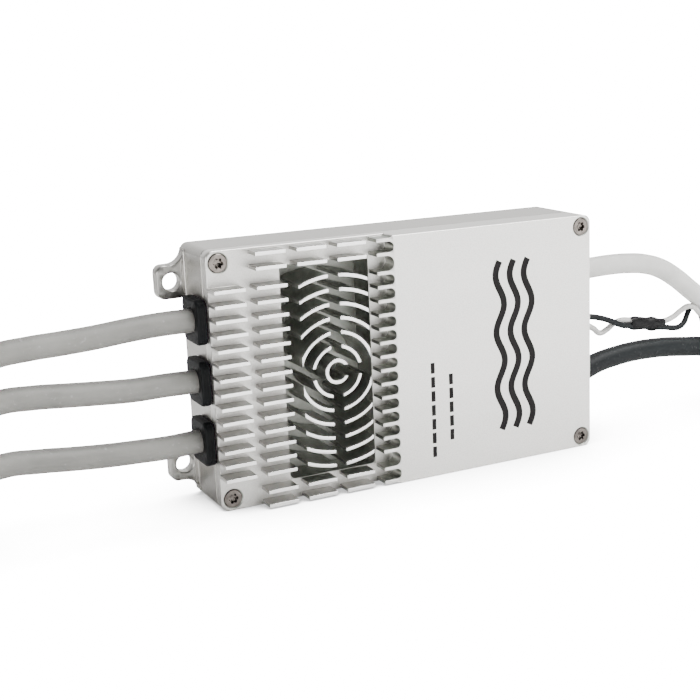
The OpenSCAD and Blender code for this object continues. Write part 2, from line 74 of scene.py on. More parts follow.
def moulded(name, colour, roughness, scale, depth, gloss=0.5):
    """Moulded rubber or plastic: fine texture and slight mottling."""
    material = bpy.data.materials.new(name)
    material.use_nodes = True
    nodes, links = material.node_tree.nodes, material.node_tree.links
    shader = nodes["Principled BSDF"]
    shader.inputs["Specular IOR Level"].default_value = gloss
    place = nodes.new("ShaderNodeTexCoord")
    mottle = nodes.new("ShaderNodeTexNoise")
    mottle.inputs["Scale"].default_value = 160
    mottle.inputs["Detail"].default_value = 6
    links.new(place.outputs["Object"], mottle.inputs["Vector"])
    tone = nodes.new("ShaderNodeValToRGB")
    low, high = tone.color_ramp.elements
    low.position = 0.3
    low.color = tuple(c * 0.8 for c in colour) + (1,)
    high.position = 0.72
    high.color = tuple(min(1, c * 1.18) for c in colour) + (1,)
    links.new(mottle.outputs["Fac"], tone.inputs["Fac"])
    links.new(tone.outputs["Color"], shader.inputs["Base Color"])
    rough = nodes.new("ShaderNodeMapRange")
    rough.inputs["To Min"].default_value = roughness - 0.08
    rough.inputs["To Max"].default_value = roughness + 0.1
    links.new(mottle.outputs["Fac"], rough.inputs["Value"])
    links.new(rough.outputs["Result"], shader.inputs["Roughness"])
    grain = nodes.new("ShaderNodeTexNoise")
    grain.inputs["Scale"].default_value = scale
    grain.inputs["Detail"].default_value = 3
    links.new(place.outputs["Object"], grain.inputs["Vector"])
    bump = nodes.new("ShaderNodeBump")
    bump.inputs["Strength"].default_value = 0.35
    bump.inputs["Distance"].default_value = depth * MM
    links.new(grain.outputs["Fac"], bump.inputs["Height"])
    links.new(bump.outputs["Normal"], shader.inputs["Normal"])
    return material


def stands_for(piece, node):
    """The piece rides with the part in the place of its CAD node."""
    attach(piece, "root")
    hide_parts(node)


shrink = moulded("heat_shrink_tube", (0.007, 0.007, 0.0075), 0.42, 600, 0.01, 0.15)
sleeve_shape = bmesh.new()
sleeve_axis = Vector((1, 0, -0.16)).normalized()
sleeve_up = Vector((0.16, 0, 1)).normalized()
sleeve_side = Vector((0, 1, 0))
sleeve_start = Vector((58.2, -0.5, 23.2)) * MM
sleeve_length, sleeve_sides, tucked_in = 9.5, 40, 0.55
stations = [(sleeve_length * k / 48, 1.0) for k in range(49)]
sleeve_rings = []
for along, swell in [(tucked_in, 0.62)] + stations + [(sleeve_length - tucked_in, 0.62)]:
    ring = []
    t = along / sleeve_length
    lump = 1 + 0.09 * math.sin(12.5 * t - 0.4) + 0.03 * math.sin(21 * t)
    mouth = 1 - 0.1 * math.exp(-((t * 9) ** 2)) - 0.1 * math.exp(-(((1 - t) * 9) ** 2))
    for k in range(sleeve_sides):
        a = 2 * math.pi * k / sleeve_sides
        fold = 1 + 0.025 * math.sin(3 * a + 8 * t)
        across = 1.15 * lump * mouth * fold * swell
        high = 1.5 * lump * mouth * fold * swell
        place = sleeve_start + sleeve_axis * along * MM
        place = place + sleeve_side * across * math.cos(a) * MM + sleeve_up * high * math.sin(a) * MM
        ring.append(sleeve_shape.verts.new(place))
    sleeve_rings.append(ring)
for one, two in zip(sleeve_rings[:-1], sleeve_rings[1:]):
    for k in range(sleeve_sides):
        n = (k + 1) % sleeve_sides
        sleeve_shape.faces.new((one[k], two[k], two[n], one[n]))
sleeve_shape.faces.new(sleeve_rings[0][::-1])
sleeve_shape.faces.new(sleeve_rings[-1])
bmesh.ops.recalc_face_normals(sleeve_shape, faces=sleeve_shape.faces)
for face in sleeve_shape.faces:
    face.smooth = True
sleeve_mesh = bpy.data.meshes.new("signal_shrink")
sleeve_shape.to_mesh(sleeve_mesh)
sleeve_shape.free()
sleeve_mesh.materials.append(shrink)
sleeve = bpy.data.objects.new("signal_shrink", sleeve_mesh)
bpy.context.collection.objects.link(sleeve)
stands_for(sleeve, "signal_sleeve")

# ---------------------------------------------------------------------------
# Bullet plugs: 4 mm gold-plated brass, bored down the tip and soldered to the
# ends of the heavy leads, each with a shrunk sleeve over the solder cup.
# ---------------------------------------------------------------------------


def machined_metal(name, colour, roughness, mark):
    """Bare turned or plated metal: fine scratches and patches of different polish."""
    material = bpy.data.materials.new(name)
    material.use_nodes = True
    nodes, links = material.node_tree.nodes, material.node_tree.links
    shader = nodes["Principled BSDF"]
    shader.inputs["Metallic"].default_value = 1
    place = nodes.new("ShaderNodeTexCoord")
    patch = nodes.new("ShaderNodeTexNoise")
    patch.inputs["Scale"].default_value = 700
    patch.inputs["Detail"].default_value = 5
    patch.inputs["Distortion"].default_value = 0.6
    links.new(place.outputs["Object"], patch.inputs["Vector"])
    tone = nodes.new("ShaderNodeValToRGB")
    low, high = tone.color_ramp.elements
    low.position = 0.32
    low.color = tuple(c * (1 - mark) for c in colour) + (1,)
    high.position = 0.66
    high.color = (*colour, 1)
    links.new(patch.outputs["Fac"], tone.inputs["Fac"])
    links.new(tone.outputs["Color"], shader.inputs["Base Color"])
    rough = nodes.new("ShaderNodeMapRange")
    rough.inputs["To Min"].default_value = roughness + 0.1
    rough.inputs["To Max"].default_value = roughness - 0.06
    links.new(patch.outputs["Fac"], rough.inputs["Value"])
    links.new(rough.outputs["Result"], shader.inputs["Roughness"])
    scratch = nodes.new("ShaderNodeTexNoise")
    scratch.inputs["Scale"].default_value = 2600
    links.new(place.outputs["Object"], scratch.inputs["Vector"])
    bump = nodes.new("ShaderNodeBump")
    bump.inputs["Strength"].default_value = 0.15
    bump.inputs["Distance"].default_value = 0.00002
    links.new(scratch.outputs["Fac"], bump.inputs["Height"])
    links.new(bump.outputs["Normal"], shader.inputs["Normal"])
    return material


def with_eased_edges(node, name, width, segments=2, edge_slot=-1, share=None):
    """Copies a CAD node as one closed mesh, its sharp edges rounded by width or a share of it."""
    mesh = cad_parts[node].data.copy()
    shape = bmesh.new()
    shape.from_mesh(mesh)
    bmesh.ops.remove_doubles(shape, verts=shape.verts, dist=0.5e-6)
    for face in shape.faces:
        face.smooth = True
    weight = shape.edges.layers.float.new("bevel_weight_edge")
    for edge in shape.edges:
        if edge.calc_face_angle(0) > math.radians(35):
            middle = (edge.verts[0].co + edge.verts[1].co) / (2 * MM)
            edge[weight] = share(middle) if share else 1
    shape.to_mesh(mesh)
    shape.free()
    mesh.materials.clear()
    for k in range(edge_slot + 1):
        mesh.materials.append(None)
    sharp = bpy.data.objects.new(name + "_sharp", mesh)
    bpy.context.collection.objects.link(sharp)
    bevel = sharp.modifiers.new("edges", "BEVEL")
    bevel.width = width
    bevel.segments = segments
    bevel.limit_method = "WEIGHT"
    bevel.use_clamp_overlap = False
    bevel.loop_slide = False
    bevel.material = edge_slot
    bevel.face_strength_mode = "FSTR_ALL"
    shading = sharp.modifiers.new("shading", "WEIGHTED_NORMAL")
    shading.use_face_influence = True
    finished = bpy.data.meshes.new_from_object(sharp.evaluated_get(bpy.context.evaluated_depsgraph_get()))
    bpy.data.objects.remove(sharp)
    piece = bpy.data.objects.new(name, finished)
    bpy.context.collection.objects.link(piece)
    return piece


def eased_piece(node, form, radius, finish, segments=2):
    """Puts a copy of a CAD node with eased edges in the node's place, all in one finish."""
    piece = with_eased_edges(node, node + "_" + form, radius * MM, segments)
    piece.data.materials.append(finish)
    stands_for(piece, node)


gold = machined_metal("gold_plate", (0.86, 0.62, 0.26), 0.24, 0.15)
for end in ("a", "b", "c", "positive", "negative"):
    eased_piece("bullet_" + end, "turning", 0.12, gold)
    eased_piece("bullet_sleeve_" + end, "tube", 0.1, shrink)

# ---------------------------------------------------------------------------
# Signal plug: a three-way housing of black nylon with two gold-plated crimp
# contacts, one on each signal wire. The third way is empty.
# ---------------------------------------------------------------------------
nylon = moulded("black_nylon", (0.02, 0.02, 0.022), 0.42, 1100, 0.02)
eased_piece("signal_plug", "moulding", 0.15, nylon)
eased_piece("signal_contacts", "stamping", 0.08, gold)

# ---------------------------------------------------------------------------
# Heavy leads: 12-gauge stranded copper in extruded silicone, 4.5 mm across.
# Three grey phase leads leave the left end; the light positive and the black
# negative lead leave the right end. All are limp and droop to the bench.
# ---------------------------------------------------------------------------
lead_d = 4.5 * MM


def silicone(name, colour, gloss, dust):
    """Extruded silicone: matt skin with slow mottling, fine grain and specks of clinging dust."""
    material = bpy.data.materials.new(name)
    material.use_nodes = True
    nodes, links = material.node_tree.nodes, material.node_tree.links
    shader = nodes["Principled BSDF"]
    shader.inputs["Specular IOR Level"].default_value = gloss
    place = nodes.new("ShaderNodeTexCoord")
    mottle = nodes.new("ShaderNodeTexNoise")
    mottle.inputs["Scale"].default_value = 110
    mottle.inputs["Detail"].default_value = 6
    links.new(place.outputs["Object"], mottle.inputs["Vector"])
    tone = nodes.new("ShaderNodeValToRGB")
    low, high = tone.color_ramp.elements
    low.position = 0.32
    low.color = tuple(c * 0.86 for c in colour) + (1,)
    high.position = 0.7
    high.color = tuple(c * 1.12 for c in colour) + (1,)
    links.new(mottle.outputs["Fac"], tone.inputs["Fac"])
    lint = nodes.new("ShaderNodeTexNoise")
    lint.inputs["Scale"].default_value = 1300
    lint.inputs["Detail"].default_value = 2
    links.new(place.outputs["Object"], lint.inputs["Vector"])
    speck = nodes.new("ShaderNodeMapRange")
    speck.inputs["From Min"].default_value = 0.66
    speck.inputs["From Max"].default_value = 0.74
    speck.inputs["To Max"].default_value = 0.35
    links.new(lint.outputs["Fac"], speck.inputs["Value"])
    dusty = nodes.new("ShaderNodeMix")
    dusty.data_type = "RGBA"
    dusty.inputs["B"].default_value = (dust, dust, dust, 1)
    links.new(speck.outputs["Result"], dusty.inputs["Factor"])
    links.new(tone.outputs["Color"], dusty.inputs["A"])
    links.new(dusty.outputs["Result"], shader.inputs["Base Color"])
    rough = nodes.new("ShaderNodeMapRange")
    rough.inputs["To Min"].default_value = 0.42
    rough.inputs["To Max"].default_value = 0.62
    links.new(mottle.outputs["Fac"], rough.inputs["Value"])
    links.new(rough.outputs["Result"], shader.inputs["Roughness"])
    bump = nodes.new("ShaderNodeBump")
    bump.inputs["Strength"].default_value = 0.3
    bump.inputs["Distance"].default_value = 0.00006
    links.new(lint.outputs["Fac"], bump.inputs["Height"])
    links.new(bump.outputs["Normal"], shader.inputs["Normal"])
    return material


def lead(name, route, diameter, material):
    """A smooth tube along the route's points, in mm, with closed ends."""
    curve = bpy.data.curves.new(name, "CURVE")
    curve.dimensions = "3D"
    curve.bevel_depth = diameter / 2
    curve.bevel_resolution = 7
    curve.resolution_u = 10
    curve.use_fill_caps = True
    spline = curve.splines.new("BEZIER")
    spline.bezier_points.add(len(route) - 1)
    for point, place in zip(spline.bezier_points, route):
        point.co = Vector(place) * MM
        point.handle_left_type = point.handle_right_type = "AUTO"
    curve.materials.append(material)
    piece = bpy.data.objects.new(name, curve)
    bpy.context.collection.objects.link(piece)
    return piece


heavy_routes = {
    "phase_lead_a": [
        (-36.65, -0.5, 36.7), (-43.2, -0.5, 36.7), (-49, -0.5, 36.7), (-55, -0.5, 36.4),
        (-61, -0.5, 35.9), (-67, -0.5, 35.6), (-73, -0.5, 35.4), (-79, -0.5, 34.8), (-84.6, 0, 32.6),
        (-88.8, 1.4, 28.6), (-91.4, 3.4, 23.6), (-93, 5.6, 18.2), (-94.6, 7.6, 12.8), (-97.4, 9, 7.8),
        (-101.6, 9.4, 4.4), (-106, 9.4, 2.9), (-108.5, 9.4, 2.9)],
    "phase_lead_b": [
        (-36.65, -0.5, 25), (-43.2, -0.5, 25), (-49, -0.5, 25.1), (-55, -0.5, 25.1), (-61, -0.5, 25.5),
        (-67, -0.5, 26), (-73, -0.5, 26.5), (-79, -0.5, 26.5), (-84.6, -0.5, 24.8), (-88.6, -0.5, 21),
        (-91.4, -0.5, 16.2), (-94, -0.5, 11.4), (-97.4, -0.5, 7.2), (-101.6, -0.5, 4.2),
        (-106, -0.5, 2.9), (-108.5, -0.5, 2.9)],
    "phase_lead_c": [
        (-36.65, -0.5, 13.3), (-43.2, -0.5, 13.3), (-49, -0.5, 13.1), (-55, -0.5, 13.3),
        (-61, -0.5, 13.6), (-67, -0.5, 14.1), (-73, -0.5, 14.7), (-79, -0.5, 15), (-84.2, -1.4, 14),
        (-88.6, -3.4, 11.6), (-92.4, -5.8, 8.6), (-96.2, -8, 5.8), (-100.4, -9.6, 3.8),
        (-104.6, -10.2, 2.9), (-107, -10.2, 2.9)],
    "power_lead_positive": [
        (36.65, -0.5, 36.7), (43.2, -0.5, 36.7), (48, -0.5, 36.9), (53, -0.5, 37), (57.5, -0.5, 36.8),
        (62, -0.5, 36.2), (66.4, -0.5, 34.8), (70.6, -0.5, 32.4), (74.6, -0.5, 29.4),
        (78.6, -0.5, 26.2), (82.4, -0.5, 22.4), (86, -0.5, 18), (89.4, -0.5, 13.4), (93.2, -0.5, 9),
        (97.6, -0.5, 5.6), (102.4, -0.5, 3.5), (106.4, -0.5, 2.9), (109, -0.5, 2.9)],
    "power_lead_negative": [
        (36.65, -0.5, 13.3), (43.2, -0.5, 13.3), (46.4, -0.5, 14.4), (49.6, -0.5, 15.4),
        (54, -0.5, 16.1), (59, -0.5, 16.5), (64, -0.5, 16.5), (69, -0.5, 16.2), (74, -0.5, 15.6),
        (79, -0.5, 14.9), (84, -0.8, 13.2), (88.2, -2, 10.8), (91.8, -4.2, 8.2), (95.2, -7, 5.8),
        (98.6, -9.8, 4), (102.4, -11.6, 3.1), (106, -12, 2.9), (108.5, -12, 2.9)],
}
phase_grey = silicone("phase_silicone_grey", (0.20, 0.197, 0.183), 0.45, 0.42)
supply_light = silicone("supply_silicone_light", (0.62, 0.615, 0.59), 0.5, 0.8)
supply_black = silicone("supply_silicone_black", (0.007, 0.009, 0.010), 0.2, 0.08)
heavy_looks = {"phase_lead_a": (phase_grey, "grey_silicone", "a"),
               "phase_lead_b": (phase_grey, "grey_silicone", "b"),
               "phase_lead_c": (phase_grey, "grey_silicone", "c"),
               "power_lead_positive": (supply_light, "light_silicone", "positive"),
               "power_lead_negative": (supply_black, "black_silicone", "negative")}
for name, route in heavy_routes.items():
    finish, slot_name, end = heavy_looks[name]
    piece = lead(name + "_jacket", route, lead_d, finish)
    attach(piece, "root")
    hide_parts(name)

# ---------------------------------------------------------------------------
# Signal pair: one white and one black wire, 1.3 mm across, in soft insulation.
# They leave a round grommet, run through the shrunk sleeve, part, and drop to
# the bench, where the three-way plug holds their ends.
# ---------------------------------------------------------------------------
wire_d = 1.3 * MM
signal_routes = {
    "signal_wire_white": [
        (35, -0.1, 24.25), (42.5, -0.1, 24.25), (46, -0.1, 24.3), (48.6, 0, 23.1), (50.4, 0.1, 21.8),
        (52.4, 0.2, 22.3), (54.4, 0.3, 23.4), (56.2, 0.1, 23.95), (58.2, -0.2, 23.8),
        (62.9, -0.2, 23.05), (67.6, -0.2, 22.3), (70.6, -0.4, 23), (72.8, -0.6, 24.3),
        (74.6, -0.9, 25.1), (76, -1.2, 24.7), (77.4, -1.4, 23.3), (78.6, -1.7, 22.2), (79.9, -2.7, 20),
        (81, -4.6, 16.2), (82.2, -7.2, 12), (83.4, -10.4, 7.8), (85, -14, 4.2), (87.4, -17.4, 2),
        (90.6, -19.4, 1.3), (94, -20, 1.3), (97, -20, 1.3)],
    "signal_wire_black": [
        (35, -0.1, 25.75), (42.5, -0.1, 25.75), (47, -0.4, 26), (50.6, -0.8, 25.2), (53.2, -0.9, 24.2),
        (55.6, -0.9, 23.1), (58.2, -0.8, 22.6), (62.9, -0.8, 21.85), (67.6, -0.8, 21.1),
        (70, -0.8, 20.6), (72.2, -0.6, 20.5), (74, -0.2, 21.3), (75.3, 0.4, 22.7), (76.6, 1.1, 23.9),
        (78.2, 2, 24.3), (79.9, 2.9, 23.8), (81.6, 3.6, 22.3), (83.1, 4.2, 19.9), (84.3, 4.5, 16.8),
        (85.1, 4.5, 13.4), (85.8, 3.9, 10), (86.4, 2.6, 6.9), (87, 0.2, 4.1), (87.7, -3.6, 2),
        (88.6, -8.4, 1.3), (90.4, -13.6, 1.3), (93.4, -16.8, 1.3), (97, -17.5, 1.3)],
}
for name, route in signal_routes.items():
    finish = supply_light if name.endswith("white") else supply_black
    piece = lead(name + "_jacket", route, wire_d, finish)
    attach(piece, "root")
    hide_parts(name)

# ---------------------------------------------------------------------------
# Case: two shells milled from aluminium, bead blasted and clear anodised. The
# cover carries the fins, the ring fins in their pocket and the raised label
# block. Light and shade are painted into some finishes: the fin tips and the
# broken edges are lighter, a painted highlight, and are smoother too; the
# pocket, the groove ends, the screw seats, the fin sides and the ears' fronts
# are dark, painted shade; the floor between the fins is a little darker,
# painted shade too.
# ---------------------------------------------------------------------------


def blasted_aluminium(name, colour, roughness, grain):
    """Anodised aluminium: fine blasted grain over a slow drift left by the milling."""
    material = bpy.data.materials.new(name)
    material.use_nodes = True
    nodes, links = material.node_tree.nodes, material.node_tree.links
    shader = nodes["Principled BSDF"]
    shader.inputs["Metallic"].default_value = 1
    place = nodes.new("ShaderNodeTexCoord")
    stretch = nodes.new("ShaderNodeMapping")
    stretch.inputs["Scale"].default_value = (0.35, 1, 1.6)
    links.new(place.outputs["Object"], stretch.inputs["Vector"])
    drift = nodes.new("ShaderNodeTexNoise")
    drift.inputs["Scale"].default_value = 55
    drift.inputs["Detail"].default_value = 4
    links.new(stretch.outputs["Vector"], drift.inputs["Vector"])
    blast = nodes.new("ShaderNodeTexNoise")
    blast.inputs["Scale"].default_value = 4200
    blast.inputs["Detail"].default_value = 2
    links.new(place.outputs["Object"], blast.inputs["Vector"])
    tone = nodes.new("ShaderNodeValToRGB")
    low, high = tone.color_ramp.elements
    low.position = 0.3
    low.color = tuple(c * 0.94 for c in colour) + (1,)
    high.position = 0.7
    high.color = tuple(min(1, c * 1.03) for c in colour) + (1,)
    links.new(drift.outputs["Fac"], tone.inputs["Fac"])
    pits = nodes.new("ShaderNodeMapRange")
    pits.inputs["From Min"].default_value = 0.3
    pits.inputs["From Max"].default_value = 0.6
    pits.inputs["To Min"].default_value = 1 - 0.16 * grain
    links.new(blast.outputs["Fac"], pits.inputs["Value"])
    pitted = nodes.new("ShaderNodeMix")
    pitted.data_type = "RGBA"
    pitted.blend_type = "MULTIPLY"
    pitted.inputs["Factor"].default_value = 1
    links.new(tone.outputs["Color"], pitted.inputs["A"])
    links.new(pits.outputs["Result"], pitted.inputs["B"])
    links.new(pitted.outputs["Result"], shader.inputs["Base Color"])
    rough = nodes.new("ShaderNodeMapRange")
    rough.inputs["To Min"].default_value = roughness - 0.05
    rough.inputs["To Max"].default_value = roughness + 0.07
    links.new(drift.outputs["Fac"], rough.inputs["Value"])
    links.new(rough.outputs["Result"], shader.inputs["Roughness"])
    bump = nodes.new("ShaderNodeBump")
    bump.inputs["Strength"].default_value = 0.3 * grain
    bump.inputs["Distance"].default_value = 0.00004
    links.new(blast.outputs["Fac"], bump.inputs["Height"])
    links.new(bump.outputs["Normal"], shader.inputs["Normal"])
    return material


blasted = blasted_aluminium("blasted_aluminium", (0.80, 0.787, 0.755), 0.38, 1)
# Painted highlight: the lighter colour on the fin tips and broken edges stands for the highlight they
# catch; the lower roughness is the finish's own.
painted_highlight_aluminium = blasted_aluminium("painted_highlight_aluminium_finish", (0.97, 0.965, 0.945), 0.26, 0.4)
# Painted shade: a little darker, for the shade on the floor between the fins.
painted_fin_floor_shade = blasted_aluminium("painted_fin_floor_shade_aluminium", (0.68, 0.67, 0.64), 0.40, 1)
# Painted shade: dark, for the shade in the pocket, at the groove ends and in the screw seats.
painted_recess_shade = blasted_aluminium("painted_recess_shade_aluminium", (0.37, 0.38, 0.35), 0.42, 0.6)
# Painted shade: dark, for the shade on the fin sides and the ears' fronts.
painted_shade_aluminium = blasted_aluminium("painted_shade_dark_aluminium", (0.35, 0.345, 0.328), 0.33, 0.5)
tray = blasted_aluminium("blasted_tray_aluminium", (0.55, 0.538, 0.51), 0.36, 1)

front_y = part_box("cover_shell")[0][1]
half_length, half_height, corner = 41.25, 25, 1.6
seam_deep, ear_deep, back_deep = 6.5, 15.7, 18.5
pocket_left, fins_right, grooves_right = -27.05, -8.6, -4.5
screw_x, screw_low, screw_high = 38.85, 2.35, 47.65


def on_outline(place):
    """Whether a place is on the outside of the case, seen from the front."""
    over_x = abs(place.x) - (half_length - corner)
    over_z = abs(place.z - half_height) - (half_height - corner)
    reach = math.hypot(max(over_x, 0), max(over_z, 0)) + min(max(over_x, over_z), 0)
    return reach > corner - 0.12


def cover_share(place):
    """The outline of the label block, of the finned floor and of the seam is broken wider."""
    deep = place.y - front_y / MM
    outer = deep > 3.7 or (deep < 0.1 and place.x > -3)
    return 1 if on_outline(place) and outer else 0.35


def base_share(place):
    """The rim of the seam, the back and the ears' outlines are broken wider."""
    deep = place.y - front_y / MM
    level = min(abs(deep - d) for d in (seam_deep, ear_deep, back_deep)) < 0.1
    return 1 if level and (on_outline(place) or abs(place.x) > 41.3) else 0.35


cover = with_eased_edges("cover_shell", "cover_milling", 0.23 * MM, 2, 1, cover_share)
cover.data.materials.clear()
cover_finishes = (blasted, painted_highlight_aluminium, painted_recess_shade, painted_shade_aluminium, painted_fin_floor_shade)
for finish in cover_finishes:
    cover.data.materials.append(finish)
for face in cover.data.polygons:
    x, y, z = (c / MM for c in face.center)
    deep = y - front_y / MM
    off_rim = 0.2 < z < 2 * half_height - 0.2
    tip = face.normal.y < -0.9 and deep < 0.05 and x < fins_right
    in_groove = fins_right < x < grooves_right and 0.1 < deep < 3.9 and abs(face.normal.y) < 0.7
    in_seat = min(math.hypot(abs(x) - screw_x, z - h) for h in (screw_low, screw_high)) < 2.02
    in_pocket = pocket_left < x < fins_right and 3.8 < z < 46.2 and deep > 0.1
    eased = face.material_index == 1 and (deep <= 0.35 or on_outline(face.center / MM))
    fin_side = -41 < x < fins_right and deep < 3.75 and abs(face.normal.y) < 0.5
    # Fin tips and the front and outline bevel faces take the lighter colour, a painted highlight.
    if tip:
        chosen = painted_highlight_aluminium
    # Groove ends, screw seats and the pocket take the dark colour, painted shade.
    elif (in_groove and off_rim) or in_seat or in_pocket:
        chosen = painted_recess_shade
    elif eased:
        chosen = painted_highlight_aluminium
    # Fin sides take the dark colour, painted shade.
    elif fin_side and off_rim:
        chosen = painted_shade_aluminium
    # The floor between the fins takes a little darker colour, painted shade.
    elif x < grooves_right and 3.5 < deep < 3.9:
        chosen = painted_fin_floor_shade
    else:
        chosen = blasted
    face.material_index = cover_finishes.index(chosen)
stands_for(cover, "cover_shell")

base = with_eased_edges("base_shell", "base_milling", 0.26 * MM, 2, 1, base_share)
base.data.materials.clear()
base_finishes = (tray, painted_highlight_aluminium, painted_shade_aluminium)
for finish in base_finishes:
    base.data.materials.append(finish)
# Bevel faces at the seam rim, the back and the ear tips keep slot 1, the lighter colour of the painted
# highlight.
for face in base.data.polygons:
    x, deep = face.center.x / MM, (face.center.y - front_y) / MM
    at_rim = min(abs(deep - seam_deep), abs(deep - back_deep)) <= 0.3
    # The ears' fronts take the dark colour, painted shade.
    if abs(x) > 42 and face.normal.y < -0.5:
        face.material_index = base_finishes.index(painted_shade_aluminium)
    elif not at_rim and abs(x) < 44:
        face.material_index = base_finishes.index(tray)
stands_for(base, "base_shell")

# ---------------------------------------------------------------------------
# Cover screws: four M2 countersunk screws of stainless steel with a six-lobe
# recess. The two at the leads stand in the finned floor and are 8 mm long, the
# two at the right are flush with the label block and 12 mm long.
# ---------------------------------------------------------------------------


def six_lobe_screw(length):
    """One screw along +Y from its head's face at the origin, with a rolled thread."""
    around = 72
    shape = bmesh.new()

    def lobed(radius, depth, wave):
        ring = []
        for k in range(around):
            a = 2 * math.pi * k / around
            r = radius * (1 + wave * math.cos(6 * a))
            ring.append(shape.verts.new((r * math.cos(a) * MM, depth * MM, r * math.sin(a) * MM)))
        return ring

    def threaded(depth, depth_in_turns):
        ring = []
        for k in range(around):
            turn_here = (depth_in_turns + k / around) % 1
            r = 0.84 + 0.14 * (1 - abs(2 * turn_here - 1))
            a = 2 * math.pi * k / around
            ring.append(shape.verts.new((r * math.cos(a) * MM, depth * MM, r * math.sin(a) * MM)))
        return ring

    rings = [lobed(0.3, 0.95, 0), lobed(0.74, 0.8, 0.15), lobed(0.82, 0.12, 0.15), lobed(0.9, 0.02, 0.13)]
    rings += [lobed(0.98, 0, 0.11), lobed(1.3, 0, 0), lobed(1.66, 0, 0), lobed(1.74, 0.05, 0)]
    rings += [lobed(1.78, 0.16, 0), lobed(1.76, 0.3, 0), lobed(1.0, 1.05, 0), lobed(0.92, 1.3, 0)]
    thread_pitch, steps_in_turn = 0.4, 4
    step = thread_pitch / steps_in_turn
    for k in range(int((length - 2) / step)):
        rings.append(threaded(1.45 + step * k, k / steps_in_turn))
    rings += [lobed(0.8, length - 0.35, 0), lobed(0.55, length - 0.02, 0)]
    for inner, outer in zip(rings[:-1], rings[1:]):
        for k in range(around):
            n = (k + 1) % around
            shape.faces.new((inner[k], outer[k], outer[n], inner[n]))
    shape.faces.new(rings[0][::-1])
    shape.faces.new(rings[-1])
    bmesh.ops.recalc_face_normals(shape, faces=shape.faces)
    for face in shape.faces:
        face.smooth = True
    mesh = bpy.data.meshes.new("six_lobe_screw")
    shape.to_mesh(mesh)
    shape.free()
    mesh.set_sharp_from_angle(angle=math.radians(28))
    return mesh


def row_of_screws(name, screw, first, spacing, finish):
    """Sets screws along Z from the first place, each turned its own way in its hole."""
    pattern = bpy.data.objects.new(name + "_pattern", screw)
    bpy.context.collection.objects.link(pattern)
    tree = bpy.data.node_groups.new(name + "_row", "GeometryNodeTree")
    for label, kind in (("Count", "NodeSocketInt"), ("Spacing", "NodeSocketFloat"),
                        ("First Place", "NodeSocketVector"), ("Screw", "NodeSocketObject"),
                        ("Finish", "NodeSocketMaterial")):
        tree.interface.new_socket(label, in_out="INPUT", socket_type=kind)
    tree.interface.new_socket("Screws", in_out="OUTPUT", socket_type="NodeSocketGeometry")
    nodes, links = tree.nodes, tree.links
    given = nodes.new("NodeGroupInput")
    step = nodes.new("ShaderNodeCombineXYZ")
    links.new(given.outputs["Spacing"], step.inputs["Z"])
    line = nodes.new("GeometryNodeMeshLine")
    links.new(given.outputs["Count"], line.inputs["Count"])
    links.new(given.outputs["First Place"], line.inputs["Start Location"])
    links.new(step.outputs["Vector"], line.inputs["Offset"])
    picked = nodes.new("GeometryNodeObjectInfo")
    links.new(given.outputs["Screw"], picked.inputs["Object"])
    turned = nodes.new("FunctionNodeRandomValue")
    turned.data_type = "FLOAT_VECTOR"
    turned.inputs["Min"].default_value = (0, 0, 0)
    turned.inputs["Max"].default_value = (0, 1.047, 0)
    turned.inputs["Seed"].default_value = 4
    put = nodes.new("GeometryNodeInstanceOnPoints")
    links.new(line.outputs["Mesh"], put.inputs["Points"])
    links.new(picked.outputs["Geometry"], put.inputs["Instance"])
    links.new(turned.outputs["Value"], put.inputs["Rotation"])
    real = nodes.new("GeometryNodeRealizeInstances")
    links.new(put.outputs["Instances"], real.inputs["Geometry"])
    painted = nodes.new("GeometryNodeSetMaterial")
    links.new(real.outputs["Geometry"], painted.inputs["Geometry"])
    links.new(given.outputs["Finish"], painted.inputs["Material"])
    made = nodes.new("NodeGroupOutput")
    links.new(painted.outputs["Geometry"], made.inputs["Screws"])
    holder = bpy.data.objects.new(name + "_holder", bpy.data.meshes.new(name + "_holder"))
    bpy.context.collection.objects.link(holder)
    modifier = holder.modifiers.new("row", "NODES")
    modifier.node_group = tree
    values = {"Count": 2, "Spacing": spacing, "First Place": first, "Screw": pattern, "Finish": finish}
    for item in tree.interface.items_tree:
        if item.in_out == "INPUT":
            modifier[item.identifier] = values[item.name]
    holder.update_tag()
    mesh = bpy.data.meshes.new_from_object(holder.evaluated_get(bpy.context.evaluated_depsgraph_get()))
    for used in (holder, pattern):
        bpy.data.objects.remove(used)
    piece = bpy.data.objects.new(name, mesh)
    bpy.context.collection.objects.link(piece)
    return piece


stainless = machined_metal("stainless_steel", (0.20, 0.18, 0.163), 0.16, 0.4)
screw_rows = (("cover_screws_short", 8, -screw_x, -5.43), ("cover_screws_long", 12, screw_x, -9.23))
for node, length, x, y in screw_rows:
    place = (x * MM, y * MM, screw_low * MM)
    spacing = (screw_high - screw_low) * MM
    screws = row_of_screws(node + "_six_lobe", six_lobe_screw(length), place, spacing, stainless)
    stands_for(screws, node)

# ---------------------------------------------------------------------------
# Grommets: moulded black rubber, square on the heavy leads and round on the
# signal pair. The outer flange bears on the wall, the neck sits in its slot.
# ---------------------------------------------------------------------------
rubber = moulded("moulded_rubber", (0.005, 0.0055, 0.006), 0.5, 1500, 0.03, 0.1)
for node in ("phase_grommets", "power_grommets", "signal_grommet"):
    eased_piece(node, "moulding", 0.2 if "signal" in node else 0.45, rubber, 3)

# ---------------------------------------------------------------------------
# Label: a pad-printed sign of three like waves side by side, for the three
# phases, and two rows of equal, plain bars. The dark grey ink stands 0.025 mm
# proud of the label face.
# ---------------------------------------------------------------------------
ink = moulded("pad_print_ink", (0.011, 0.010, 0.010), 0.6, 3000, 0.004, 0.1)


